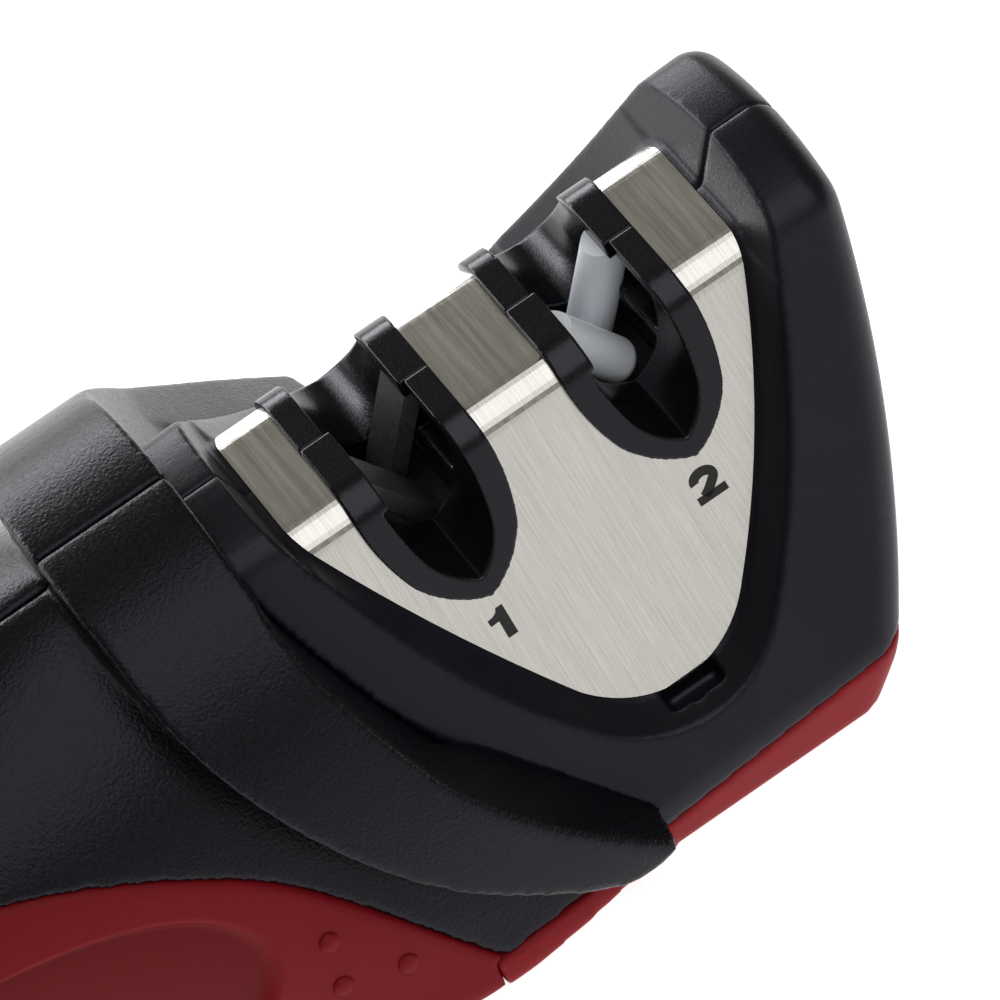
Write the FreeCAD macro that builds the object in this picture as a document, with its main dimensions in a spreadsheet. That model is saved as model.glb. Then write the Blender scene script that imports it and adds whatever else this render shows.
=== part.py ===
import FreeCAD, Part
import math
import os

# A two-stage hand-held edge sharpener: a wedge-shaped head with a carbide slot and a ceramic slot,
# a finger guard that sweeps round the body, and a handle with soft grips. Millimetres, +Z up,
# +X towards the head's end, the head's front face towards -Y. The origin is the middle of the
# object's box, on the surface that the base rests on. The two halves meet on the plane Y = 0.

V = FreeCAD.Vector
doc = FreeCAD.newDocument("edge_sharpener")

# ---------------------------------------------------------------- driving dimensions

DIMENSIONS = {
    "overall_length": 185.0,     # butt of the handle to the end of the head
    "head_centre": 60.2,         # X midway between the two slots
    "slot_pitch": 21.0,
    "rim_height": 35.0,          # top of the slot rims above the base
    "base_half_width": 30.2,
    "head_crown": 4.6,           # end wall's top above the rims
    "lip_crown": 3.3,            # the head's top beside the guard, above the rims
    "end_rounding": 2.8,         # rounding round the head's end face
    "face_slope": 0.63,          # sideways run of a side face for each unit of drop
    "plate_drop": 0.67,          # plate's top below the rims
    "plate_thickness": 0.5,
    "plate_half_width": 23.0,
    "plate_depth": 25.6,         # plate's lowest point below the rims
    "plate_top_flat": 5.04,      # half width of the plate's flat top
    "plate_bend": 4.2,           # outside radius of the plate's bends
    "plate_gap": 0.3,            # between the plate's edge and the recess wall
    "skin": 2.4,                 # moulded wall
    "guard_half_width": 34.0,
    "guard_top": 42.3,
    "pad_front": 5.9,            # base pad's thickness at the head's end
    "pad_rear": 2.9,
    "grip_thickness": 1.8,
    "rod_diameter": 4.2,
    "rod_length": 12.0,          # before the hones' tops are cut level
    "blade_thickness": 1.7,
    "blade_width": 4.0,
    "blade_length": 12.6,
    "hone_angle": 28.5,          # each hone's lean from the vertical
    "hone_cross_drop": 10.9,     # where the hones' axes cross, below the rims
    "hone_spacing": 5.0,         # between the two hones of a slot, along Y
    "bead_height": 2.2,          # rim bead over the hones' tops
    "carrier_width": 17.6,
    "carrier_depth": 11.0,
    "screw_shank": 3.0,
    "screw_head": 5.6,
    "screw_head_height": 2.4,
    "setscrew_diameter": 2.5,
    "setscrew_length": 3.6,
}

sheet = doc.addObject("Spreadsheet::Sheet", "Dimensions")
for row, (alias, value) in enumerate(DIMENSIONS.items(), start=1):
    sheet.set("A%d" % row, alias)
    sheet.set("B%d" % row, str(value))
    sheet.setAlias("B%d" % row, alias)
doc.recompute()

# The two faces of the tool, with the sign of their Y.
FACES = {"front": -1, "back": 1}


def dim(alias):
    """One driving dimension, read from the sheet."""
    return float(sheet.get(alias))


def bind(obj, **expressions):
    """Bind properties of an object to formulas on the sheet's cells."""
    for prop, formula in expressions.items():
        obj.setExpression(prop.replace("__", "."), formula)


rim = dim("rim_height")
centre = dim("head_centre")
pitch = dim("slot_pitch")
slope = dim("face_slope")
butt = -dim("overall_length") / 2
head_end = dim("overall_length") / 2
slots = {"coarse": centre - pitch / 2, "fine": centre + pitch / 2}

# ---------------------------------------------------------------- outlines and slabs

PLANES = {
    "YZ": FreeCAD.Placement(V(0, 0, 0), FreeCAD.Rotation(V(1, 1, 1), 120)),
    "XZ": FreeCAD.Placement(V(0, 0, 0), FreeCAD.Rotation(V(1, 0, 0), 90)),
}
NORMALS = {"YZ": V(1, 0, 0), "XZ": V(0, 1, 0)}


def curves(start, steps):
    """A chain of curves: a step of one point is a line, of two an arc, of more a smooth curve."""
    here = V(*start, 0)
    chain = []
    for step in steps:
        points = [V(a, b, 0) for a, b in step]
        if len(points) == 1:
            chain.append(Part.LineSegment(here, points[0]))
        elif len(points) == 2:
            chain.append(Part.Arc(here, points[0], points[1]))
        else:
            spline = Part.BSplineCurve()
            spline.interpolate([here] + points)
            chain.append(spline)
        here = points[-1]
    return chain


def mirrored(start, steps):
    """Close a half outline, given from the middle of its top to the middle of its bottom."""
    knots = [start]
    for step in steps:
        knots.extend(step)
    back = [(-a, b) for a, b in reversed(knots)]
    closing = []
    used = 1
    for step in reversed(steps):
        closing.append(back[used:used + len(step)])
        used += len(step)
    return list(steps) + closing


def outline(name, plane, start, steps, distance=0.0):
    """A sketch on a plane, moved a distance along the plane's normal."""
    sketch = doc.addObject("Sketcher::SketchObject", name + "_outline")
    place = PLANES[plane]
    sketch.Placement = FreeCAD.Placement(NORMALS[plane] * distance, place.Rotation)
    sketch.addGeometry(curves(start, steps), False)
    return sketch


def slab(name, plane, start, steps, first, last):
    """An outline on a plane, extruded between two distances along the plane's normal."""
    solid = doc.addObject("Part::Extrusion", name)
    solid.Base = outline(name, plane, start, steps)
    solid.DirMode = "Custom"
    solid.Dir = NORMALS[plane]
    solid.LengthFwd = last
    solid.LengthRev = -first
    solid.Solid = True
    return solid


def join(kind, name, shapes):
    """A common or a fusion of several solids."""
    result = doc.addObject("Part::" + kind, name)
    result.Refine = False
    result.Shapes = shapes
    return result


def cut(name, base, tool):
    """One solid less another."""
    result = doc.addObject("Part::Cut", name)
    result.Refine = False
    result.Base = base
    result.Tool = tool
    return result


# ---------------------------------------------------------------- the tent-shaped sections


def tent(offset, foot):
    """Half of the head's section, offset outwards from the plate's outer face, down to a foot."""
    radius = dim("plate_bend") + offset
    flat = dim("plate_top_flat")
    bend_centre = rim - dim("plate_drop") - dim("plate_bend")
    turn = math.pi / 2 - math.atan(slope)

    def on_bend(angle):
        return (flat + radius * math.sin(angle), bend_centre + radius * math.cos(angle))

    bend_end = on_bend(turn)
    bottom = (bend_end[0] + slope * (bend_end[1] - foot), foot)
    start = (0, bend_centre + radius)
    steps = [[(flat, start[1])], [on_bend(turn / 2), bend_end], [bottom], [(0, foot)]]
    return start, mirrored(start, steps)


def tent_slab(name, offset, foot=-2.0):
    start, steps = tent(offset, foot)
    return slab(name, "YZ", start, steps, 20, 100)


def face_plane(offset):
    """Distance of a side face from the middle plane at height 0, offset from the plate's face."""
    turn = math.pi / 2 - math.atan(slope)
    radius = dim("plate_bend") + offset
    bend_centre = rim - dim("plate_drop") - dim("plate_bend")
    side = dim("plate_top_flat") + radius * math.sin(turn)
    height = bend_centre + radius * math.cos(turn)
    return side + slope * height


def shield(left, right, left_bow, depth, top):
    """The plate's outline seen from the side: straight top, bowed sides, round bottom."""
    middle = centre + 0.5
    start = (middle, top)
    steps = [
        [(middle + right, top)],
        [(middle + right, rim)],
        [(middle + 0.724 * right, rim - 0.439 * depth), (middle + 0.335 * right, rim - 0.858 * depth)],
        [(middle - 0.048 * left, rim - depth), (middle - 0.391 * left_bow, rim - 0.858 * depth)],
        [(middle - 0.709 * left_bow, rim - 0.453 * depth), (middle - left, rim)],
        [(middle - left, top)],
        [(middle, top)],
    ]
    return start, steps


# ---------------------------------------------------------------- the head's outside

crown = rim + dim("head_crown")
base = dim("base_half_width")
FACE_TURN = math.pi / 2 - math.atan(slope)      # from the vertical to a side face's normal
CROWN_TURN = math.radians(15)                   # the part of the turn taken by the shallow crown
FOOT_RADIUS = 5.0                               # rounding from a side face to the upright foot


def turn_point(middle_point, radius, angle):
    """A point on an arc about a centre, at an angle from the vertical."""
    return (middle_point[0] + radius * math.sin(angle), middle_point[1] + radius * math.cos(angle))


def head_profile(top, reach, radius):
    """Half of the head's section: crown, bend, sloping face and upright foot, all tangent."""
    across = math.sin(FACE_TURN)
    along = math.cos(FACE_TURN)
    gain = across * math.sin(CROWN_TURN) - along * (1 - math.cos(CROWN_TURN))
    spread = (reach - radius - along * (top - radius)) / gain
    crown_centre = (0, top - spread - radius)
    bend_centre = turn_point(crown_centre, spread, CROWN_TURN)
    meeting = (reach - across * base) / along
    setback = FOOT_RADIUS * math.tan(math.atan(slope) / 2)
    foot_centre = (base - FOOT_RADIUS, meeting - setback)
    foot_turn = (FACE_TURN + math.pi / 2) / 2
    return mirrored((0, top), [
        [turn_point(crown_centre, spread + radius, CROWN_TURN / 2),
         turn_point(crown_centre, spread + radius, CROWN_TURN)],
        [turn_point(bend_centre, radius, (CROWN_TURN + FACE_TURN) / 2),
         turn_point(bend_centre, radius, FACE_TURN)],
        [turn_point(foot_centre, FOOT_RADIUS, FACE_TURN)],
        [turn_point(foot_centre, FOOT_RADIUS, foot_turn), (base, meeting - setback)],
        [(base, 0)],
        [(0, 0)],
    ])


# The faces stand further out towards the head's end.
near_top = rim + dim("lip_crown")
head_section = doc.addObject("Part::Loft", "head_section")
head_section.Sections = [
    outline("head_near", "YZ", (0, near_top), head_profile(near_top, 26.6, 3.8), 20),
    outline("head_far", "YZ", (0, crown), head_profile(crown, 29.6, 5.2), 100),
]
head_section.Solid = True
head_section.Ruled = True
head_side = slab(
    "head_side", "XZ", (30, 0), [
        [(head_end - 18.3, 0)],
        [(head_end - 6.3, 19.0), (head_end + 1.2, 41.0)],
        [(30, 41.0)],
        [(30, 0)],
    ], -50, 50)
head_sharp = join("MultiCommon", "head_sharp", [head_section, head_side])
doc.recompute()

# The whole edge round the end face is rounded, apart from its foot.
head_block = doc.addObject("Part::Fillet", "head_block")
head_block.Base = head_sharp


def end_edges(shape):
    """Edges round the end face, from one foot over the crown to the other."""
    picked = []
    for index, edge in enumerate(shape.Edges, start=1):
        box = edge.BoundBox
        if box.XMin > 70 and box.ZMax > 0.1:
            picked.append((index, dim("end_rounding"), dim("end_rounding")))
    return picked


head_block.Edges = end_edges(head_sharp.Shape)
doc.recompute()

# ---------------------------------------------------------------- guard and handle solids

# The line on which the guard's front face stands, from the top down to the wing's tip.
GUARD_FRONT = [(32.1, 38.6), (32.2, 35.1), (33.1, 31.6), (35.0, 26.4), (38.3, 19.4), (41.6, 14.7),
               (45.4, 10.5), (48.9, 6.9), (51.4, 4.6)]
GUARD_REAR = [(46.4, 3.9), (40.4, 7.5), (35.4, 11.5), (30.4, 16.6), (26.4, 22.0), (22.6, 28.6), (19.6, 37.0)]
guard_top = dim("guard_top")
crescent = slab(
    "guard_crescent", "XZ", (32.4, guard_top + 1),
    [GUARD_FRONT, GUARD_REAR, [(19.0, guard_top + 1)], [(32.4, guard_top + 1)]], -50, 50)
wing = dim("guard_half_width")
guard_arch = slab(
    "guard_arch", "YZ", (0, guard_top),
    mirrored((0, guard_top), [
        [(6, guard_top - 0.3), (12.5, guard_top - 2.4), (19.4, guard_top - 7.6), (24.6, guard_top - 14),
         (28.2, guard_top - 20), (31.0, guard_top - 26), (33.2, guard_top - 33), (wing, guard_top - 39)],
        [(0, guard_top - 39)],
    ]), 0, 70)
guard_band = join("MultiCommon", "guard_band", [crescent, guard_arch])

# The guard's front wall leans forwards to its foot on the head, more so near the wing's tip.
RAMP_REACH = [-0.4, 0.9, 1.8, 2.4, 2.9, 3.2]
RAMP_DEPTHS = {35.0: 0.0, 22.0: 1.0}


def ramp_wire(depth, share):
    """The lower part of the guard's front line at a depth, moved forwards."""
    line = GUARD_FRONT[-len(RAMP_REACH) - 1:] + [(53.6, 2.6)]
    moved = []
    for number, reach in enumerate(RAMP_REACH, start=1):
        run = V(line[number + 1][0] - line[number - 1][0], 0, line[number + 1][1] - line[number - 1][1])
        ahead = V(-run.z, 0, run.x).normalize()
        step = RAMP_REACH[0] + share * (reach - RAMP_REACH[0])
        moved.append(V(line[number][0], depth, line[number][1]) + ahead * step)
    spline = Part.BSplineCurve()
    spline.interpolate(moved)
    behind = V(-4, 0, 0)
    closing = Part.makePolygon([moved[-1], moved[-1] + behind, moved[0] + behind, moved[0]])
    return Part.Wire([spline.toShape()] + closing.Edges)


ramps = []
for face, side in FACES.items():
    ramp = doc.addObject("Part::Feature", "guard_ramp_" + face)
    wires = [ramp_wire(side * depth, share) for depth, share in RAMP_DEPTHS.items()]
    ramp.Shape = Part.makeLoft(wires, True, True)
    ramps.append(cut("guard_ramp_trimmed_" + face, join("MultiCommon", "guard_ramp_arched_" + face,
                                                        [ramp, guard_arch]), head_block))
guard = join("MultiFuse", "guard", [guard_band] + ramps)

left_steps = [
    GUARD_FRONT,
    [(51.4, 0)],
    [(-120, 0)],
    [(-120, 60)],
    [(32.4, 60)],
    [(32.4, guard_top + 1)],
]
handle_side = slab("handle_side", "XZ", (32.4, guard_top + 1), left_steps, -60, 60)

# Stations of the handle: X, half width, top, height of the widest point, bottom, fullness above, below.
STATIONS = [
    (52.0, 30.7, 36.0, 0.8, 0.0, 1.28, 6.0),
    (34.0, 32.6, 38.4, 0.8, 0.0, 1.31, 6.0),
    (18.0, 30.4, 39.0, 3.5, 0.2, 1.63, 4.2),
    (-2.0, 24.2, 37.0, 13.0, 1.2, 2.1, 2.6),
    (-40.0, 19.6, 31.5, 14.0, 2.0, 2.1, 2.4),
    (-70.0, 20.2, 29.8, 14.0, 1.2, 2.1, 2.4),
    (-85.0, 16.8, 26.6, 13.6, 3.2, 2.1, 2.3),
    (butt, 8.0, 19.6, 12.6, 7.6, 2.0, 2.0),
]
SECTION_POINTS = 28


def station_wire(station, inset):
    """One closed section of the handle, drawn in by an inset."""
    x, half, top, wide, bottom, full_up, full_down = station
    half = max(half - inset, 2.0)
    top = top - inset
    bottom = bottom + inset
    points = []
    for step in range(SECTION_POINTS):
        angle = 2 * math.pi * (step + 0.5) / SECTION_POINTS
        across = math.sin(angle)
        along = math.cos(angle)
        full = full_up if along > 0 else full_down
        reach = top - wide if along > 0 else wide - bottom
        y = half * math.copysign(abs(across) ** (2 / full), across)
        z = wide + reach * math.copysign(abs(along) ** (2 / full), along)
        points.append(V(x, y, z))
    spline = Part.BSplineCurve()
    spline.interpolate(points, PeriodicFlag=True)
    return Part.Wire([spline.toShape()])


def handle_loft(name, inset, stations):
    """The handle as one smooth solid through its stations."""
    shape = Part.makeLoft([station_wire(station, inset) for station in stations], True, False)
    feature = doc.addObject("Part::Feature", name)
    feature.Shape = shape
    return feature


handle_outer = handle_loft("handle_outer", 0.0, STATIONS)
handle_under_grip = handle_loft("handle_under_grip", dim("grip_thickness"), STATIONS)
handle_hollow_loft = handle_loft("handle_hollow_loft", dim("grip_thickness") + dim("skin"), STATIONS[1:-1])

# ---------------------------------------------------------------- recess round the plate


def on_face(steps_of, side, offset):
    """An outline seen from the side, moved onto a plane parallel to one side face."""
    start, steps = steps_of
    edges = [curve.toShape() for curve in curves(start, steps)]
    wire = Part.Wire(edges)
    lean = FreeCAD.Matrix()
    lean.A11, lean.A12, lean.A13, lean.A14 = 1, 0, 0, 0
    lean.A21, lean.A22, lean.A23, lean.A24 = 0, -side * slope, 1, side * face_plane(offset)
    lean.A31, lean.A32, lean.A33, lean.A34 = 0, 1, 0, 0
    return wire.transformGeometry(lean)


gap = dim("plate_gap")
foot = dim("plate_half_width")
depth = dim("plate_depth")
middle = centre + 0.5
plate_top = rim - dim("plate_drop")

# Outlines of the recess, below the plate's face and out beyond the head's: left, right, left bow, depth.
RECESS_WIRES = [(-1.3, (foot + gap, foot + gap, foot + gap - 1.0, depth + gap)),
                (7.0, (foot + gap, foot + 2 * gap, foot + 6.0, depth + 2 * gap))]
recess_parts = []
for face, side in FACES.items():
    wires = [on_face(shield(*sizes, 46), side, offset) for offset, sizes in RECESS_WIRES]
    frustum = doc.addObject("Part::Feature", "recess_" + face)
    frustum.Shape = Part.makeLoft(wires, True, True)
    recess_parts.append(frustum)
WALL_LEAN = {-1: 0.33, 1: 0.49}     # sideways run of the recess's end walls for each unit of rise


def recess_corner(side, climb):
    """A point on the recess's end walls, at a height above the plate's top."""
    return (middle + side * (foot + gap + WALL_LEAN[side] * climb), plate_top + climb)


recess_parts.append(slab("recess_top", "XZ", recess_corner(-1, -1.0), [
    [recess_corner(1, -1.0)],
    [recess_corner(1, 10.0)],
    [recess_corner(-1, 10.0)],
    [recess_corner(-1, -1.0)],
], -40, 40))
plate_outer = tent_slab("plate_outer", 0)
recess = cut("recess", join("MultiFuse", "recess_all", recess_parts), plate_outer)

# ---------------------------------------------------------------- slots: guides, hones and carriers


def slot_outline(x, tip, half, bow, top):
    """A pointed arch upside down: the side view of a slot's rim, about the slot's middle."""
    start = (x - half, top)
    steps = [
        [(x - half, rim)],
        [(x - bow, rim - 0.36 * tip), (x - 0.8 * bow, rim - 0.70 * tip)],
        [(x - 0.47 * bow, rim - 0.88 * tip), (x, rim - tip)],
        [(x + 0.47 * bow, rim - 0.88 * tip), (x + 0.8 * bow, rim - 0.70 * tip)],
        [(x + bow, rim - 0.36 * tip), (x + half, rim)],
        [(x + half, top)],
        [(x - half, top)],
    ]
    return start, steps


guide_tent = tent_slab("guide_tent", dim("plate_drop"))
halves = {}
for face, side in FACES.items():
    half = doc.addObject("Part::Box", face + "_half")
    half.Length, half.Width, half.Height = 300, 100, 120
    half.Placement.Base = V(-150, 0 if side > 0 else -100, -20)
    halves[face] = half

lean_angle = dim("hone_angle")


def hone_placement(x, side, along):
    """Where a hone starts: it leans away from its own half's lower side, a distance along its axis."""
    lean = math.radians(lean_angle) * side
    axis = V(math.sin(lean), 0, math.cos(lean))
    foot_point = V(x, side * dim("hone_spacing") / 2, rim - dim("hone_cross_drop"))
    return FreeCAD.Placement(foot_point + axis * along, FreeCAD.Rotation(V(0, 1, 0), lean_angle * side))


nodes = {}
guide_bodies = {}
hones = {"coarse": {}, "fine": {}}
bead_bottom = rim - dim("bead_height")
POCKET = (10.6, 11.2, 4.3)      # room under the beads for the hones' tops
WELL = (6.4, 11.2, 5.6)         # room round the hones' free lower ends
WELL_FLOOR = 22.2
BEAD_REACH = 3.5                # a bead's edge from the slot's middle, over a hone's top
COVER = (3.0, 12.0, 10.0)       # the extra bead, cut off by the guide's own outside

# The hones' tops are cut level, just under the rims' beads.
hone_limit = doc.addObject("Part::Box", "hone_limit")
hone_limit.Length, hone_limit.Width, hone_limit.Height = 120, 60, bead_bottom
hone_limit.Placement.Base = V(0, -30, 0)
for stage, x in slots.items():
    outside = slab(stage + "_guide_outside", "XZ", *slot_outline(x, 11.8, 6.5, 6.5, 44), -40, 40)
    trough = slab(stage + "_trough", "XZ", *slot_outline(x, 10.2, 4.0, 4.0, 46), -45, 45)
    guide_bodies[stage] = join("MultiCommon", stage + "_guide_full", [outside, guide_tent])
    pocket = doc.addObject("Part::Box", stage + "_hone_pocket")
    pocket.Length, pocket.Width, pocket.Height = POCKET
    pocket.Placement.Base = V(x - POCKET[0] / 2, -POCKET[1] / 2, bead_bottom - POCKET[2])
    well = doc.addObject("Part::Box", stage + "_hone_well")
    well.Length, well.Width, well.Height = WELL
    well.Placement.Base = V(x - WELL[0] / 2, -WELL[1] / 2, WELL_FLOOR)
    trough_all = join("MultiFuse", stage + "_trough_and_pocket", [trough, pocket, well])
    # Each half's bead stands further in on the side that its hone leans to.
    covers = []
    for face, side in FACES.items():
        cover = doc.addObject("Part::Box", "%s_cover_%s" % (stage, face))
        cover.Length, cover.Width, cover.Height = COVER
        cover.Placement.Base = V(x + (BEAD_REACH if side > 0 else -BEAD_REACH - COVER[0]),
                                 0 if side > 0 else -COVER[1], bead_bottom)
        covers.append(cover)
    guide_bodies[stage + "_trough"] = cut(stage + "_trough_covered", trough_all,
                                          join("MultiFuse", stage + "_covers", covers))
    for face, side in FACES.items():
        if stage == "fine":
            rod = doc.addObject("Part::Cylinder", "rod_bar_" + face)
            bind(rod, Radius="Dimensions.rod_diameter / 2", Height="Dimensions.rod_length")
            rod.Placement = hone_placement(x, side, -0.6)
            doc.recompute()
            bar = doc.addObject("Part::Fillet", "rod_" + face)
            bar.Base = rod
            bar.Edges = [(index, 1.2, 1.2) for index, edge in enumerate(rod.Shape.Edges, start=1)
                         if edge.Curve.TypeId == "Part::GeomCircle"]
            name = "ceramic_rod_" + face
        else:
            bar = doc.addObject("Part::Box", "blade_" + face)
            bind(bar, Length="Dimensions.blade_thickness", Width="Dimensions.blade_width",
                 Height="Dimensions.blade_length")
            place = hone_placement(x, side, -1.8)
            shift = place.Rotation.multVec(V(-dim("blade_thickness") / 2, -dim("blade_width") / 2, 0))
            bar.Placement = FreeCAD.Placement(place.Base + shift, place.Rotation)
            name = "carbide_blade_" + face
        hone = join("MultiCommon", name, [bar, hone_limit])
        hone.Label = name
        hones[stage][face] = hone
        nodes[hone.Label] = hone
doc.recompute()

# ---------------------------------------------------------------- head shells, plate, base pad

hone_list = [hones[stage][face] for stage in hones for face in hones[stage]]
guide_list = [guide_bodies["coarse"], guide_bodies["fine"]]

plate_inner = tent_slab("plate_inner", -dim("plate_thickness"))
plate_outline = slab("plate_outline", "XZ", *shield(foot, foot, foot, depth, 44), -50, 50)
plate_skin = cut("plate_skin", plate_outer, plate_inner)
plate_blank = join("MultiCommon", "plate_blank", [plate_skin, plate_outline])
guide_windows = join("MultiFuse", "guide_windows", [
    doc.getObject("coarse_guide_outside"), doc.getObject("fine_guide_outside")])
cover_plate = cut("cover_plate", plate_blank, guide_windows)
cover_plate.Label = "cover_plate"
nodes["cover_plate"] = cover_plate

pad_region = slab("pad_region", "XZ", (33.0, -1), [
    [(90.0, -1)],
    [(90.0, dim("pad_front") + 1.0)],
    [(52.0, dim("pad_rear"))],
    [(33.0, dim("pad_rear"))],
    [(33.0, -1)],
], -60, 60)
wall = dim("skin")
head_hollow_side = slab("head_hollow_side", "XZ", (40.5, 9.0), [
    [(76.0, 9.0)],
    [(81.5, 20.0)],
    [(82.5, 31.0)],
    [(38.5, 31.0)],
    [(38.5, 22.0)],
    [(40.5, 9.0)],
], -50, 50)
head_hollow = join("MultiCommon", "head_hollow", [
    tent_slab("hollow_tent", -dim("plate_thickness") - wall, 5.0), head_hollow_side])

head_region = cut("head_region", head_block, handle_side)

# A slot in the recess wall takes a blade for prying the plate off.
pry_slots = []
for face, side in FACES.items():
    notch = doc.addObject("Part::Box", "pry_slot_" + face)
    notch.Length, notch.Width, notch.Height = 5.4, 2.6, 3.2
    near_edge = side * 22.6 - (0 if side > 0 else notch.Width.Value)
    notch.Placement.Base = V(57.4, near_edge, 7.4)
    pry_slots.append(notch)

SCREWS = {"head": [(middle - 7.5, 15.5), (middle + 7.5, 15.5)],
          "handle": [(12.0, 19.0), (-30.0, 14.5), (-68.0, 14.5)]}


def screw_parts(group, number, x, z, head_y, tip_y):
    """One self-tapping screw along Y: its head at the back, its tip in the front half's boss."""
    body = doc.addObject("PartDesign::Body", "%s_screw_%d" % (group, number))
    plane = [f for f in body.Origin.OriginFeatures if f.Role == "XY_Plane"][0]
    sketch = body.newObject("Sketcher::SketchObject", body.Name + "_profile")
    sketch.AttachmentSupport = [(plane, "")]
    sketch.MapMode = "FlatFace"
    shank = dim("screw_shank") / 2
    cap = dim("screw_head") / 2
    depth = dim("screw_head_height")
    socket = 0.9
    length = head_y - tip_y
    outline = [(0, 0), (shank * 0.35, 0), (shank, 1.6), (shank, length - depth), (cap, length - depth),
               (cap, length - 0.5), (cap - 0.5, length), (socket, length), (socket, length - 1.2),
               (0, length - 1.2), (0, 0)]
    for first, second in zip(outline, outline[1:]):
        sketch.addGeometry(Part.LineSegment(V(*first, 0), V(*second, 0)), False)
    turned = body.newObject("PartDesign::Revolution", body.Name + "_turned")
    turned.Profile = sketch
    turned.ReferenceAxis = (sketch, ["V_Axis"])
    turned.Angle = 360
    body.Placement = FreeCAD.Placement(V(x, tip_y, z), FreeCAD.Rotation())
    return body


screw_bodies = {"head": [], "handle": []}
screw_bosses = {"head": [], "handle": []}
screw_wells = {"head": [], "handle": []}
for group, places in SCREWS.items():
    for number, (x, z) in enumerate(places, start=1):
        head_y = 11.5 if group == "head" else 13.0
        tip_y = -9.0
        screw_bodies[group].append(screw_parts(group, number, x, z, head_y, tip_y))
        boss = doc.addObject("Part::Cylinder", "%s_boss_%d" % (group, number))
        boss.Radius, boss.Height = 4.0, 80
        boss.Placement = FreeCAD.Placement(V(x, 40, z), FreeCAD.Rotation(V(1, 0, 0), 90))
        screw_bosses[group].append(boss)
        well = doc.addObject("Part::Cylinder", "%s_well_%d" % (group, number))
        bind(well, Radius="Dimensions.screw_head / 2")
        well.Height = 40
        well.Placement = FreeCAD.Placement(V(x, head_y + 38.7, z), FreeCAD.Rotation(V(1, 0, 0), 90))
        screw_wells[group].append(well)
for group, bodies in screw_bodies.items():
    screws = doc.addObject("Part::Compound", group + "_screws")
    screws.Links = bodies
    screws.Label = group + "_screws"
    nodes[screws.Label] = screws
doc.recompute()

# The carriers sit inside the head, round the guides, and hold the hones' ends.
carriers = {}
for stage, x in slots.items():
    block = doc.addObject("Part::Box", stage + "_carrier_block")
    bind(block, Length="Dimensions.carrier_width", Width="Dimensions.carrier_depth")
    block.Height = 13.2
    block.Placement.Base = V(x - dim("carrier_width") / 2, -dim("carrier_depth") / 2, 17.6)
    screws = []
    seats = []
    for face, side in FACES.items():
        body = doc.addObject("PartDesign::Body", "%s_setscrew_%s" % (stage, face))
        plane = [f for f in body.Origin.OriginFeatures if f.Role == "XY_Plane"][0]
        ring = body.newObject("Sketcher::SketchObject", body.Name + "_ring")
        ring.AttachmentSupport = [(plane, "")]
        ring.MapMode = "FlatFace"
        ring.addGeometry(Part.Circle(V(0, 0, 0), V(0, 0, 1), dim("setscrew_diameter") / 2), False)
        post = body.newObject("PartDesign::Pad", body.Name + "_post")
        post.Profile = ring
        bind(post, Length="Dimensions.setscrew_length")
        hole = body.newObject("Sketcher::SketchObject", body.Name + "_hex")
        hole.AttachmentSupport = [(plane, "")]
        hole.MapMode = "FlatFace"
        corners = [V(0.7 * math.cos(k * math.pi / 3), 0.7 * math.sin(k * math.pi / 3), 0) for k in range(7)]
        for first, second in zip(corners, corners[1:]):
            hole.addGeometry(Part.LineSegment(first, second), False)
        pocket = body.newObject("PartDesign::Pocket", body.Name + "_socket")
        pocket.Profile = hole
        pocket.Length = 1.2
        pocket.Reversed = True
        body.Placement = FreeCAD.Placement(
            V(x + side * 5.2, side * dim("hone_spacing") / 2, 17.6), FreeCAD.Rotation())
        screws.append(body)
        seat = doc.addObject("Part::Cylinder", "%s_seat_%s" % (stage, face))
        bind(seat, Radius="Dimensions.setscrew_diameter / 2", Height="Dimensions.setscrew_length")
        seat.Placement = body.Placement
        seats.append(seat)
    group = doc.addObject("Part::Compound", stage + "_clamp_screws")
    group.Links = screws
    group.Label = stage + "_clamp_screws"
    nodes[group.Label] = group
    tools = join("MultiFuse", stage + "_carrier_tools",
                 [doc.getObject(stage + "_guide_outside"), doc.getObject(stage + "_hone_well"),
                  hones[stage]["front"], hones[stage]["back"]] + seats)
    carrier = cut(stage + "_carrier", block, tools)
    carrier.Label = stage + "_carrier"
    carriers[stage] = block
    nodes[carrier.Label] = carrier
    for face in FACES:
        shaped = join("MultiCommon", "%s_guide_blank_%s" % (stage, face),
                      [guide_bodies[stage], halves[face]])
        guide_tools = join("MultiFuse", "%s_guide_tools_%s" % (stage, face),
                           [guide_bodies[stage + "_trough"], hones[stage]["front"], hones[stage]["back"]])
        guide = cut("%s_guide_%s" % (stage, face), shaped, guide_tools)
        guide.Label = "%s_guide_%s" % (stage, face)
        nodes[guide.Label] = guide

head_boss_set = join("MultiFuse", "head_boss_set", screw_bosses["head"])
head_bossed = join("MultiFuse", "head_bossed", [
    cut("head_hollowed", head_region, head_hollow),
    join("MultiCommon", "head_bosses", [head_boss_set, head_hollow])])
head_cutters = join("MultiFuse", "head_cutters", [
    recess, plate_blank, pad_region] + guide_list + hone_list + pry_slots + list(carriers.values())
    + screw_bodies["head"] + screw_wells["head"])
head_shell = cut("head_shell", head_bossed, head_cutters)
for face in FACES:
    shell = join("MultiCommon", "head_shell_" + face, [head_shell, halves[face]])
    shell.Label = "head_shell_" + face
    nodes[shell.Label] = shell

base_pad = join("MultiFuse", "base_pad", [
    join("MultiCommon", "pad_head_part", [head_region, pad_region]),
    join("MultiCommon", "pad_handle_part", [handle_outer, pad_region, handle_side])])
base_pad.Label = "base_pad"
nodes["base_pad"] = base_pad

# ---------------------------------------------------------------- handle shells and grips

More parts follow.
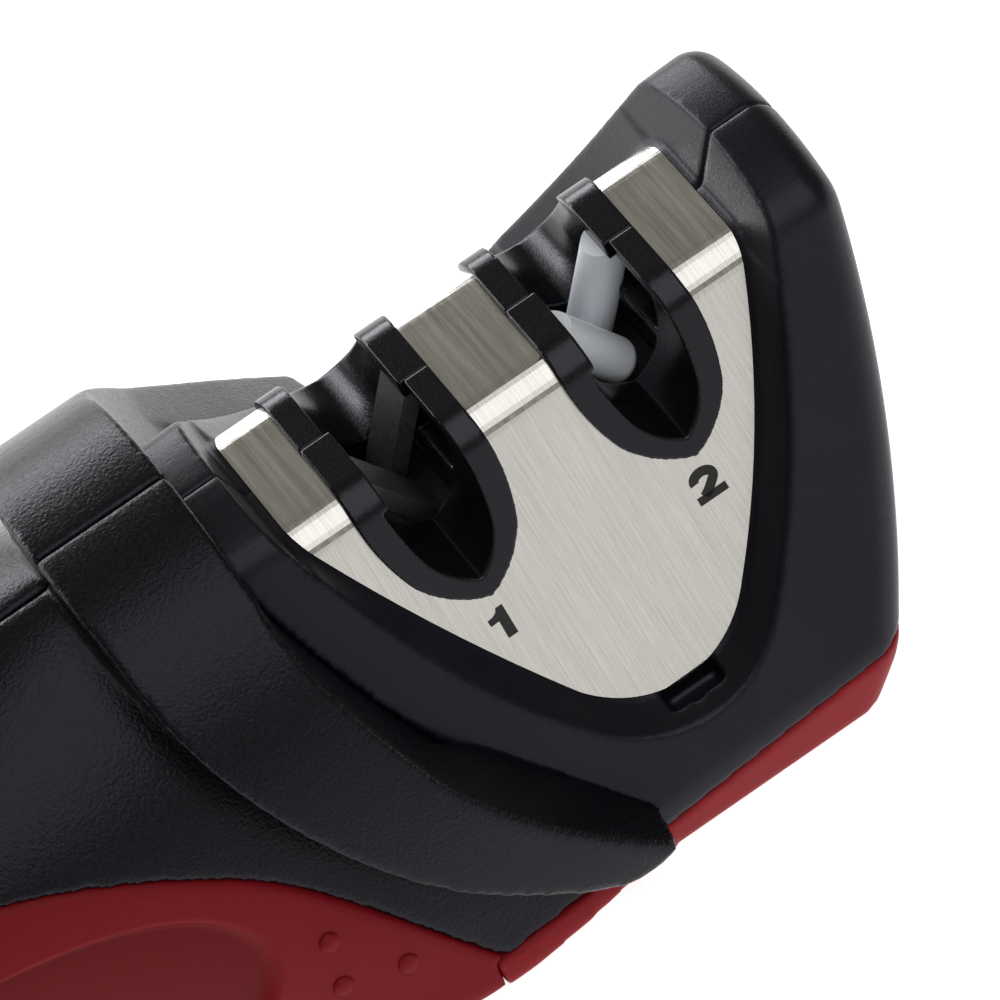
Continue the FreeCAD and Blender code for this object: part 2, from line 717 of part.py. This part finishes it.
grip_region = slab("grip_region", "XZ", (36.0, 0), [
    [(36.0, 0.5)],
    [(33.0, 4.2), (29.0, 9.8), (25.0, 15.0), (20.7, 19.6), (15.2, 23.5), (8.1, 27.1), (0.5, 29.5),
     (-14.0, 30.0), (-32.0, 26.6), (-52.0, 22.0), (-75.0, 18.5), (-95.0, 16.0)],
    [(-95.0, 0)],
    [(36.0, 0)],
], -60, 60)
handle_bare = cut("handle_bare", handle_outer, grip_region)
handle_core = join("MultiFuse", "handle_core", [handle_bare, handle_under_grip])
handle_body = join("MultiCommon", "handle_body", [handle_core, handle_side])
grip_skin = cut("grip_skin", handle_outer, handle_under_grip)
grip_layer = join("MultiCommon", "grip_layer", [grip_skin, grip_region])
grip = cut("grip_whole", grip_layer, join("MultiFuse", "grip_tools", [pad_region, guard]))
for face in FACES:
    half = join("MultiCommon", "soft_grip_" + face, [grip, halves[face]])
    half.Label = "soft_grip_" + face
    nodes[half.Label] = half

hollow_box = slab("handle_hollow_box", "XZ", (30.0, 10.0), [
    [(30.0, 22.0)],
    [(20.0, 33.0)],
    [(-80.0, 33.0)],
    [(-80.0, 3.0)],
    [(20.0, 3.0)],
    [(30.0, 10.0)],
], -60, 60)
handle_hollow = join("MultiCommon", "handle_hollow", [handle_hollow_loft, hollow_box])
handle_with_guard = join("MultiFuse", "handle_with_guard", [handle_body, guard])
handle_bossed = join("MultiFuse", "handle_bossed", [
    cut("handle_hollowed", handle_with_guard, handle_hollow),
    join("MultiCommon", "handle_bosses", [
        join("MultiFuse", "handle_boss_set", screw_bosses["handle"]), handle_hollow])])
handle_cutters = join("MultiFuse", "handle_cutters", screw_bodies["handle"] + screw_wells["handle"])
handle_drilled = cut("handle_drilled", handle_bossed, handle_cutters)
handle_shell = cut("handle_shell", handle_drilled, pad_region)
for face in FACES:
    shell = join("MultiCommon", "handle_shell_" + face, [handle_shell, halves[face]])
    shell.Label = "handle_shell_" + face
    nodes[shell.Label] = shell
doc.recompute()

# ---------------------------------------------------------------- checks and export

problems = []
for obj in doc.Objects:
    if "Invalid" in obj.State or "Error" in obj.State:
        problems.append("%s: %s" % (obj.Name, obj.State))
for label, node in nodes.items():
    shape = node.Shape
    if shape.isNull() or not shape.isValid() or not shape.Solids:
        problems.append(label + ": bad shape")
    print("%-24s solids %d volume %9.1f" % (label, len(shape.Solids), shape.Volume))
if problems:
    raise RuntimeError("; ".join(problems))

os.makedirs("parts", exist_ok=True)
for label, node in nodes.items():
    node.Shape.exportStep(os.path.join("parts", label + ".step"))
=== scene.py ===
import math

import bmesh
import bpy
from mathutils import Matrix, Vector
from mathutils.bvhtree import BVHTree


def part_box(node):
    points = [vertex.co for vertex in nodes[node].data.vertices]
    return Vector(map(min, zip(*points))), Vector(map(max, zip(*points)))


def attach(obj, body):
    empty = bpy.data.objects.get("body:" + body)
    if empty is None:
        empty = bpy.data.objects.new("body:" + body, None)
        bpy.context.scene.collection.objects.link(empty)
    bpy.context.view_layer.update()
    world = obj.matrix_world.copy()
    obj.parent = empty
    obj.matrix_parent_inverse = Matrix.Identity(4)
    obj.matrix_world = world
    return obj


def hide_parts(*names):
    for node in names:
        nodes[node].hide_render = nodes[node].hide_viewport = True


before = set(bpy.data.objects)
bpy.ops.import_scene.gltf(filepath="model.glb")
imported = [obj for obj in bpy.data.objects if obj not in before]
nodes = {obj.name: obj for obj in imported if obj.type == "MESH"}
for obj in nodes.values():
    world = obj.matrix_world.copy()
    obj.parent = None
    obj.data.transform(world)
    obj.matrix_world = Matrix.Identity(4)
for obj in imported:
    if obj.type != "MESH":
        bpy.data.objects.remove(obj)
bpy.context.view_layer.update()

MM = 0.001

# ---------------------------------------------------------------- materials


def new_material(name):
    """An empty node material with a shader; returns the tree's parts."""
    material = bpy.data.materials.new(name)
    material.use_nodes = True
    tree = material.node_tree
    shader = tree.nodes["Principled BSDF"]
    return material, tree, shader


def object_space(tree, stretch=(1, 1, 1)):
    """Coordinates in millimetres on the object, optionally stretched."""
    source = tree.nodes.new("ShaderNodeTexCoord")
    mapping = tree.nodes.new("ShaderNodeMapping")
    mapping.inputs["Scale"].default_value = [1000 * s for s in stretch]
    tree.links.new(source.outputs["Object"], mapping.inputs["Vector"])
    return mapping.outputs["Vector"]


def noise(tree, vector, scale, detail=3.0, roughness=0.5):
    """A noise value, with its scale in features per millimetre."""
    node = tree.nodes.new("ShaderNodeTexNoise")
    node.inputs["Scale"].default_value = scale
    node.inputs["Detail"].default_value = detail
    node.inputs["Roughness"].default_value = roughness
    tree.links.new(vector, node.inputs["Vector"])
    return node.outputs["Fac"]


def ramp(tree, value, low, high, colour_low, colour_high):
    """A colour between two, as a value runs between two limits."""
    node = tree.nodes.new("ShaderNodeValToRGB")
    node.color_ramp.elements[0].position = low
    node.color_ramp.elements[0].color = (*colour_low, 1)
    node.color_ramp.elements[1].position = high
    node.color_ramp.elements[1].color = (*colour_high, 1)
    tree.links.new(value, node.inputs["Fac"])
    return node.outputs["Color"]


def map_range(tree, value, low, high, out_low, out_high):
    """A number carried from one range into another."""
    node = tree.nodes.new("ShaderNodeMapRange")
    limits = {"From Min": low, "From Max": high, "To Min": out_low, "To Max": out_high}
    for socket, number in limits.items():
        node.inputs[socket].default_value = number
    tree.links.new(value, node.inputs["Value"])
    return node.outputs["Result"]


def bump(tree, height, distance_mm, normal=None):
    """Surface relief from a height value."""
    node = tree.nodes.new("ShaderNodeBump")
    node.inputs["Strength"].default_value = 1.0
    node.inputs["Distance"].default_value = distance_mm * MM
    tree.links.new(height, node.inputs["Height"])
    if normal is not None:
        tree.links.new(normal, node.inputs["Normal"])
    return node.outputs["Normal"]


PEBBLE_FINENESS = 1.3                    # pebbles for each feature of the fine grain
COOL_HIGHLIGHT = (0.88, 0.86, 1.0, 1)    # tint of the black plastics' highlights


def moulded_plastic(name, dark, light, rough, grain_scale, grain_depth, pebble, specular):
    """Black plastic with a moulded grain: pebbles, fine noise and slight wear in colour."""
    material, tree, shader = new_material(name)
    where = object_space(tree)
    grain = noise(tree, where, grain_scale, 4.0, 0.55)
    cells = tree.nodes.new("ShaderNodeTexVoronoi")
    cells.feature = "SMOOTH_F1"
    cells.inputs["Scale"].default_value = grain_scale * PEBBLE_FINENESS
    tree.links.new(where, cells.inputs["Vector"])
    patches = noise(tree, where, 0.12, 2.0)
    tree.links.new(ramp(tree, patches, 0.3, 0.7, dark, light), shader.inputs["Base Color"])
    tree.links.new(map_range(tree, grain, 0.3, 0.7, rough - 0.06, rough + 0.08), shader.inputs["Roughness"])
    shader.inputs["Specular IOR Level"].default_value = specular
    shader.inputs["Specular Tint"].default_value = COOL_HIGHLIGHT
    normal = bump(tree, grain, grain_depth)
    normal = bump(tree, cells.outputs["Distance"], grain_depth * pebble, normal)
    tree.links.new(normal, shader.inputs["Normal"])
    return material


def brushed_steel():
    """Stainless steel brushed round the fold, with faint longer scratches."""
    material, tree, shader = new_material("brushed_steel")
    lines = noise(tree, object_space(tree, (1, 0.014, 0.014)), 9.0, 5.0, 0.7)
    broad = noise(tree, object_space(tree, (1, 0.06, 0.06)), 1.6, 3.0)
    shader.inputs["Metallic"].default_value = 1.0
    tree.links.new(ramp(tree, lines, 0.25, 0.75, (0.55, 0.535, 0.51), (0.80, 0.785, 0.76)),
                   shader.inputs["Base Color"])
    tree.links.new(map_range(tree, broad, 0.3, 0.7, 0.17, 0.24), shader.inputs["Roughness"])
    tree.links.new(bump(tree, lines, 0.008), shader.inputs["Normal"])
    shader.inputs["Anisotropic"].default_value = 0.5
    tangent = tree.nodes.new("ShaderNodeTangent")
    tangent.direction_type = "RADIAL"
    tangent.axis = "X"
    tree.links.new(tangent.outputs["Tangent"], shader.inputs["Tangent"])
    return material


def simple(name, dark, light, rough, metallic=0.0, scale=1.5, depth=0.01, stretch=(1, 1, 1), specular=0.5):
    """A material with mottled colour, roughness and slight relief."""
    material, tree, shader = new_material(name)
    value = noise(tree, object_space(tree, stretch), scale, 4.0)
    tree.links.new(ramp(tree, value, 0.3, 0.7, dark, light), shader.inputs["Base Color"])
    tree.links.new(map_range(tree, value, 0.3, 0.7, rough - 0.04, rough + 0.05), shader.inputs["Roughness"])
    tree.links.new(bump(tree, value, depth), shader.inputs["Normal"])
    shader.inputs["Metallic"].default_value = metallic
    shader.inputs["Specular IOR Level"].default_value = specular
    return material


SCOOP_MIDDLE = (-4.0, 15.5)      # X and Z of the grip's thumb scoop, mm
SCOOP_HALVES = (21.5, 9.7)       # half its length and height, mm
SCOOP_DEPTH = 0.9                # how far it is pressed in, mm
SCOOP_RIM = 1.02                 # where its wall starts, as a share of its halves
SCOOP_WALL = 0.08                # the wall's width, as the same share
THROUGH = 1000                   # long enough to reach through the handle, mm


def soft_rubber():
    """Red rubber, with painted shade: its colour is darker inside the thumb scoop, standing in for shadow
    in the hollow.
    """
    material, tree, shader = new_material("soft_red")
    where = object_space(tree)
    place = tree.nodes.new("ShaderNodeMapping")
    place.vector_type = "TEXTURE"
    place.inputs["Location"].default_value = (SCOOP_MIDDLE[0], 0, SCOOP_MIDDLE[1])
    place.inputs["Scale"].default_value = (SCOOP_HALVES[0], THROUGH, SCOOP_HALVES[1])
    tree.links.new(where, place.inputs["Vector"])
    length = tree.nodes.new("ShaderNodeVectorMath")
    length.operation = "LENGTH"
    tree.links.new(place.outputs["Vector"], length.inputs[0])
    # Painted shade: the colour inside the thumb scoop is darker than the rubber's own, standing in for
    # shadow in the hollow.
    scoop_shade_colour, outside = (0.15, 0.0035, 0.007), (0.21, 0.005, 0.010)
    scoop_shaded_tint = ramp(tree, length.outputs["Value"], 0.94, 1.0, scoop_shade_colour, outside)
    speck = noise(tree, where, 3.0, 3.0)
    mix = tree.nodes.new("ShaderNodeMix")
    mix.data_type = "RGBA"
    mix.blend_type = "MULTIPLY"
    mix.inputs["Factor"].default_value = 1.0
    tree.links.new(scoop_shaded_tint, mix.inputs["A"])
    tree.links.new(ramp(tree, speck, 0.3, 0.7, (0.86, 0.86, 0.86), (1, 1, 1)), mix.inputs["B"])
    tree.links.new(mix.outputs["Result"], shader.inputs["Base Color"])
    tree.links.new(map_range(tree, speck, 0.3, 0.7, 0.46, 0.56), shader.inputs["Roughness"])
    tree.links.new(bump(tree, speck, 0.014), shader.inputs["Normal"])
    shader.inputs["Specular IOR Level"].default_value = 0.16
    return material


LOOKS = {
    "head_shell": moulded_plastic(
        "head_plastic", dark=(0.0048, 0.0046, 0.0085), light=(0.0075, 0.0072, 0.012),
        rough=0.33, grain_scale=4.2, grain_depth=0.018, pebble=0.5, specular=0.32),
    "handle_shell": moulded_plastic(
        "handle_plastic", dark=(0.0022, 0.0018, 0.0036), light=(0.004, 0.0036, 0.006),
        rough=0.27, grain_scale=3.0, grain_depth=0.040, pebble=0.7, specular=0.26),
    "guide_plastic": moulded_plastic(
        "guide_gloss", dark=(0.0025, 0.0025, 0.0035), light=(0.004, 0.004, 0.006),
        rough=0.22, grain_scale=4.0, grain_depth=0.010, pebble=0.4, specular=0.42),
    "plate_steel": brushed_steel(),
    "carbide": simple(
        "ground_carbide", dark=(0.16, 0.16, 0.165), light=(0.30, 0.30, 0.31),
        rough=0.36, metallic=0.9, scale=6.0, depth=0.006, stretch=(1, 1, 0.1)),
    "rod_ceramic": simple(
        "white_ceramic", dark=(0.72, 0.76, 0.83), light=(0.80, 0.84, 0.90),
        rough=0.55, scale=4.0, depth=0.004),
    "carrier_plastic": simple(
        "carrier_plastic", dark=(0.006, 0.006, 0.007), light=(0.01, 0.01, 0.012), rough=0.5),
    "screw_steel": simple(
        "plated_steel", dark=(0.45, 0.45, 0.46), light=(0.62, 0.62, 0.63),
        rough=0.3, metallic=1.0, scale=5.0, depth=0.004),
    "grip_rubber": soft_rubber(),
    "pad_rubber": simple(
        "base_rubber", dark=(0.22, 0.005, 0.010), light=(0.28, 0.007, 0.014),
        rough=0.5, scale=2.5, depth=0.012, specular=0.2),
    "ink": simple(
        "black_ink", dark=(0.004, 0.004, 0.004), light=(0.008, 0.008, 0.008),
        rough=0.5, scale=5.0, depth=0.003),
}
KINDS = {
    "head_shell": ("head_shell_front", "head_shell_back"),
    "handle_shell": ("handle_shell_front", "handle_shell_back"),
    "guide_plastic": ("coarse_guide_front", "coarse_guide_back", "fine_guide_front", "fine_guide_back"),
    "plate_steel": ("cover_plate",),
    "carbide": ("carbide_blade_front", "carbide_blade_back"),
    "rod_ceramic": ("ceramic_rod_front", "ceramic_rod_back"),
    "carrier_plastic": ("coarse_carrier", "fine_carrier"),
    "screw_steel": ("coarse_clamp_screws", "fine_clamp_screws", "head_screws", "handle_screws"),
    "grip_rubber": ("soft_grip_front", "soft_grip_back"),
    "pad_rubber": ("base_pad",),
}
for kind, names in KINDS.items():
    for name in names:
        mesh = nodes[name].data
        mesh.materials.clear()
        mesh.materials.append(LOOKS[kind])

# ---------------------------------------------------------------- rounded mouldings


def add_piece(name, mesh, kind):
    """A visual piece that rides with the body."""
    for polygon in mesh.polygons:
        polygon.use_smooth = True
    mesh.materials.clear()
    mesh.materials.append(LOOKS[kind])
    piece = bpy.data.objects.new(name, mesh)
    bpy.context.collection.objects.link(piece)
    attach(piece, "root")
    return piece


def node_mesh(name):
    """A CAD node's surface as one welded mesh in the common frame."""
    node = nodes[name]
    work = bmesh.new()
    work.from_mesh(node.data)
    work.transform(node.matrix_world)
    bmesh.ops.remove_doubles(work, verts=work.verts, dist=0.001 * MM)
    mesh = bpy.data.meshes.new(name + "_work")
    work.to_mesh(mesh)
    work.free()
    return mesh


def applied(mesh, modifiers):
    """The mesh after a list of modifiers, each a kind and its settings."""
    holder = bpy.data.objects.new("holder", mesh)
    bpy.context.collection.objects.link(holder)
    for kind, settings in modifiers:
        modifier = holder.modifiers.new(kind, kind)
        for key, value in settings.items():
            setattr(modifier, key, value)
    graph = bpy.context.evaluated_depsgraph_get()
    result = bpy.data.meshes.new_from_object(holder.evaluated_get(graph))
    bpy.data.objects.remove(holder)
    return result


def moulding(name, kind, voxel, rounds, keep, shape=None):
    """A moulded part with rounded edges, in place of its CAD node.

    It is remeshed at a voxel size in mm, smoothed for some rounds and thinned to a share of its faces.
    """
    mesh = applied(node_mesh(name), [
        ("REMESH", {"mode": "VOXEL", "voxel_size": voxel * MM}),
        ("SMOOTH", {"factor": 0.5, "iterations": rounds}),
    ])
    if shape is not None:
        for vertex in mesh.vertices:
            vertex.co = shape(vertex.co)
    mesh = applied(mesh, [("DECIMATE", {"ratio": keep})])
    piece = add_piece(name + "_moulded", mesh, kind)
    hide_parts(name)
    return piece


def scooped(point):
    """The grip's surface pushed in round the thumb scoop."""
    across = (point.x / MM - SCOOP_MIDDLE[0]) / SCOOP_HALVES[0]
    up = (point.z / MM - SCOOP_MIDDLE[1]) / SCOOP_HALVES[1]
    inward = min(max((SCOOP_RIM - math.hypot(across, up)) / SCOOP_WALL, 0.0), 1.0)
    inward = inward * inward * (3 - 2 * inward)
    return Vector((point.x, point.y - math.copysign(SCOOP_DEPTH * MM * inward, point.y), point.z))


FACES = ("front", "back")
for face in FACES:
    moulding("head_shell_" + face, "head_shell", voxel=0.30, rounds=7, keep=0.28)
    moulding("handle_shell_" + face, "handle_shell", voxel=0.30, rounds=30, keep=0.45)
    for stage in ("coarse", "fine"):
        moulding("%s_guide_%s" % (stage, face), "guide_plastic", voxel=0.13, rounds=12, keep=0.3)
moulding("base_pad", "pad_rubber", voxel=0.4, rounds=3, keep=0.3)
grips = {}
for face in FACES:
    grips[face] = moulding(
        "soft_grip_" + face, "grip_rubber", voxel=0.30, rounds=30, keep=0.45, shape=scooped)

PLATE_SHARP_ANGLE = math.radians(28)     # the plate's cut edges are sharper than this, its bends smoother
plate_mesh = node_mesh("cover_plate")
for polygon in plate_mesh.polygons:
    polygon.use_smooth = True
plate_mesh.set_sharp_from_angle(angle=PLATE_SHARP_ANGLE)
plate_mesh = applied(plate_mesh, [("WEIGHTED_NORMAL", {"keep_sharp": True, "weight": 100})])
plate = add_piece("cover_plate_sheet", plate_mesh, "plate_steel")
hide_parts("cover_plate")

# ---------------------------------------------------------------- numerals and dots

# The plate's front face leans back: how far it faces forward and up, and its distance from the origin.
FACE_FORWARD, FACE_LIFT = 0.8461, 0.5330
FACE_DISTANCE = 24.53
FACE_OUT = Vector((0, -FACE_FORWARD, FACE_LIFT))
FACE_UP = Vector((0, FACE_LIFT, FACE_FORWARD))
INK_GAP = 0.01                   # from the plate to the ink's underside, mm
INK_THICKNESS = 0.05


def printed(name, outlines, foot):
    """Flat black shapes on the plate's front face, from a foot point in mm."""
    work = bmesh.new()
    for outline in outlines:
        low = [work.verts.new(foot * MM + (Vector((x, 0, 0)) + FACE_UP * y) * MM) for x, y in outline]
        face = work.faces.new(low)
        lifted = bmesh.ops.extrude_face_region(work, geom=[face])
        bmesh.ops.translate(work, vec=FACE_OUT * INK_THICKNESS * MM,
                            verts=[part for part in lifted["geom"] if isinstance(part, bmesh.types.BMVert)])
    bmesh.ops.recalc_face_normals(work, faces=work.faces)
    mesh = bpy.data.meshes.new(name)
    work.to_mesh(mesh)
    work.free()
    piece = add_piece(name, mesh, "ink")
    for polygon in mesh.polygons:
        polygon.use_smooth = False


def stroke(path, width):
    """The outline of a thick line along a path."""
    sides = ([], [])
    for index, point in enumerate(path):
        before = path[max(index - 1, 0)]
        after = path[min(index + 1, len(path) - 1)]
        along = (Vector(after) - Vector(before)).normalized()
        normal = Vector((-along.y, along.x)) * width / 2
        sides[0].append(tuple(Vector(point) + normal))
        sides[1].append(tuple(Vector(point) - normal))
    return sides[0] + sides[1][::-1]


# Outlines of the two numerals in mm, each from its own lower left corner.
ONE = [[(0, 0), (0.96, 0), (1.0, 2.85), (0.36, 2.85), (0.15, 2.5),
        (-0.25, 2.3), (-0.81, 2.24), (-0.78, 1.68), (0.04, 1.72)]]
BOW_MIDDLE = (1.45, 1.98)
BOW_HALVES = (0.94, 0.61)
bow = []
for degrees in range(190, -36, -15):
    angle = math.radians(degrees)
    across = BOW_MIDDLE[0] + BOW_HALVES[0] * math.cos(angle)
    up = BOW_MIDDLE[1] + BOW_HALVES[1] * math.sin(angle)
    bow.append((across, up))
TWO = [stroke(bow + [(1.5, 1.0), (0.8, 0.55)], 0.84), [(0.04, 0), (2.9, 0), (2.9, 0.72), (0.04, 0.72)]]
for name, outlines, x, y in (("numeral_one", ONE, 49.06, -16.76), ("numeral_two", TWO, 68.74, -16.78)):
    z = (FACE_DISTANCE + INK_GAP + FACE_FORWARD * y) / FACE_LIFT
    printed(name, outlines, Vector((x, y, z)))

DOTS = [(22.0, -28.0, 13.5), (26.7, -30.2, 7.9), (21.1, -29.5, 9.5)]     # near the grip's surface, mm
DOT_RADIUS = 0.95
DOT_FLATNESS = 0.5
for face, sign in (("front", 1), ("back", -1)):
    surface = BVHTree.FromObject(grips[face], bpy.context.evaluated_depsgraph_get())
    work = bmesh.new()
    for x, y, z in DOTS:
        place, normal, _, _ = surface.find_nearest(Vector((x, sign * y, z)) * MM)
        dome = bmesh.ops.create_uvsphere(work, u_segments=24, v_segments=12, radius=DOT_RADIUS * MM)
        turn = normal.to_track_quat("Z", "Y").to_matrix().to_4x4()
        flat = Matrix.Diagonal((1, 1, DOT_FLATNESS, 1))
        bmesh.ops.transform(work, matrix=Matrix.Translation(place) @ turn @ flat, verts=dome["verts"])
    mesh = bpy.data.meshes.new("grip_dots_" + face)
    work.to_mesh(mesh)
    work.free()
    add_piece("grip_dots_" + face, mesh, "grip_rubber")

# ---------------------------------------------------------------- camera, floor and light

# The camera circles the middle of the line along the slot rims, at these angles.
ROLL, ELEVATION, SWING = math.radians(25.47), math.radians(49.12), math.radians(-11.47)
DISTANCE = 0.7
LENS = 300.6                             # focal length for the sensor width below, mm
SENSOR_WIDTH = 36.0
AIM_RIGHT, AIM_UP = 0.00284, -0.01363    # from the middle of the rims to where the camera aims, m
slots_middle = (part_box("coarse_guide_front")[0][0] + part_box("fine_guide_front")[1][0]) / 2
rims_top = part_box("coarse_guide_front")[1][2]
pivot = Vector((slots_middle, 0, rims_top))
behind = Vector((
    math.sin(SWING) * math.cos(ELEVATION),
    -math.cos(SWING) * math.cos(ELEVATION),
    math.sin(ELEVATION),
))
level = Vector((math.cos(SWING), math.sin(SWING), 0))
upward = behind.cross(level)
right = level * math.cos(ROLL) - upward * math.sin(ROLL)
above = level * math.sin(ROLL) + upward * math.cos(ROLL)
camera_data = bpy.data.cameras.new("camera")
camera_data.lens = LENS
camera_data.sensor_width = SENSOR_WIDTH
camera_data.clip_start = 0.05
camera_data.clip_end = 20
camera = bpy.data.objects.new("camera", camera_data)
bpy.context.collection.objects.link(camera)
eye = pivot + behind * DISTANCE
target = pivot + right * AIM_RIGHT + above * AIM_UP
back = (eye - target).normalized()
side = above.cross(back).normalized()
top = back.cross(side)
camera.matrix_world = Matrix.Translation(eye) @ Matrix((side, top, back)).transposed().to_4x4()
bpy.context.scene.camera = camera

FLOOR_REACH = 3          # from the middle to the floor's edges, m
FLOOR_DROP = 0.0002      # below the part's base, so that the two faces don't coincide, m
floor_mesh = bpy.data.meshes.new("floor")
corners = [(x * FLOOR_REACH, y * FLOOR_REACH, 0) for x, y in ((-1, -1), (1, -1), (1, 1), (-1, 1))]
floor_mesh.from_pydata(corners, [], [(0, 1, 2, 3)])
floor = bpy.data.objects.new("floor", floor_mesh)
bpy.context.collection.objects.link(floor)
floor.location.z = -FLOOR_DROP
pale, _, floor_shader = new_material("pale_floor")
floor_shader.inputs["Base Color"].default_value = (0.9, 0.9, 0.9, 1)
floor_shader.inputs["Roughness"].default_value = 0.9
floor_shader.inputs["Emission Color"].default_value = (1, 1, 1, 1)
floor_shader.inputs["Emission Strength"].default_value = 0.85
floor_mesh.materials.append(pale)

bpy.context.scene.view_settings.view_transform = "Standard"
world = bpy.data.worlds.new("studio")
bpy.context.scene.world = world
world.use_nodes = True
world.node_tree.nodes["Background"].inputs["Color"].default_value = (1.0, 0.97, 0.80, 1)
world.node_tree.nodes["Background"].inputs["Strength"].default_value = 0.17


def softbox(name, angle, reach, width, height, radiance, x=0.12):
    """A rectangular light aimed at the slots, set at an angle from straight up towards the front."""
    data = bpy.data.lights.new(name, "AREA")
    data.shape = "RECTANGLE"
    data.size = width
    data.size_y = height
    data.energy = radiance * math.pi * width * height
    lamp = bpy.data.objects.new(name, data)
    bpy.context.collection.objects.link(lamp)
    tilt = math.radians(angle)
    place = pivot + Vector((x, -math.sin(tilt), math.cos(tilt))) * reach
    lamp.location = place
    lamp.rotation_euler = (pivot - place).to_track_quat("-Z", "Y").to_euler()


softbox("overhead", angle=20, reach=0.9, width=0.8, height=0.90, radiance=1.25)
softbox("front_low", angle=77, reach=1.0, width=1.5, height=0.40, radiance=0.64)
softbox("back_low", angle=-70, reach=1.0, width=1.4, height=0.35, radiance=7.0, x=-0.25)
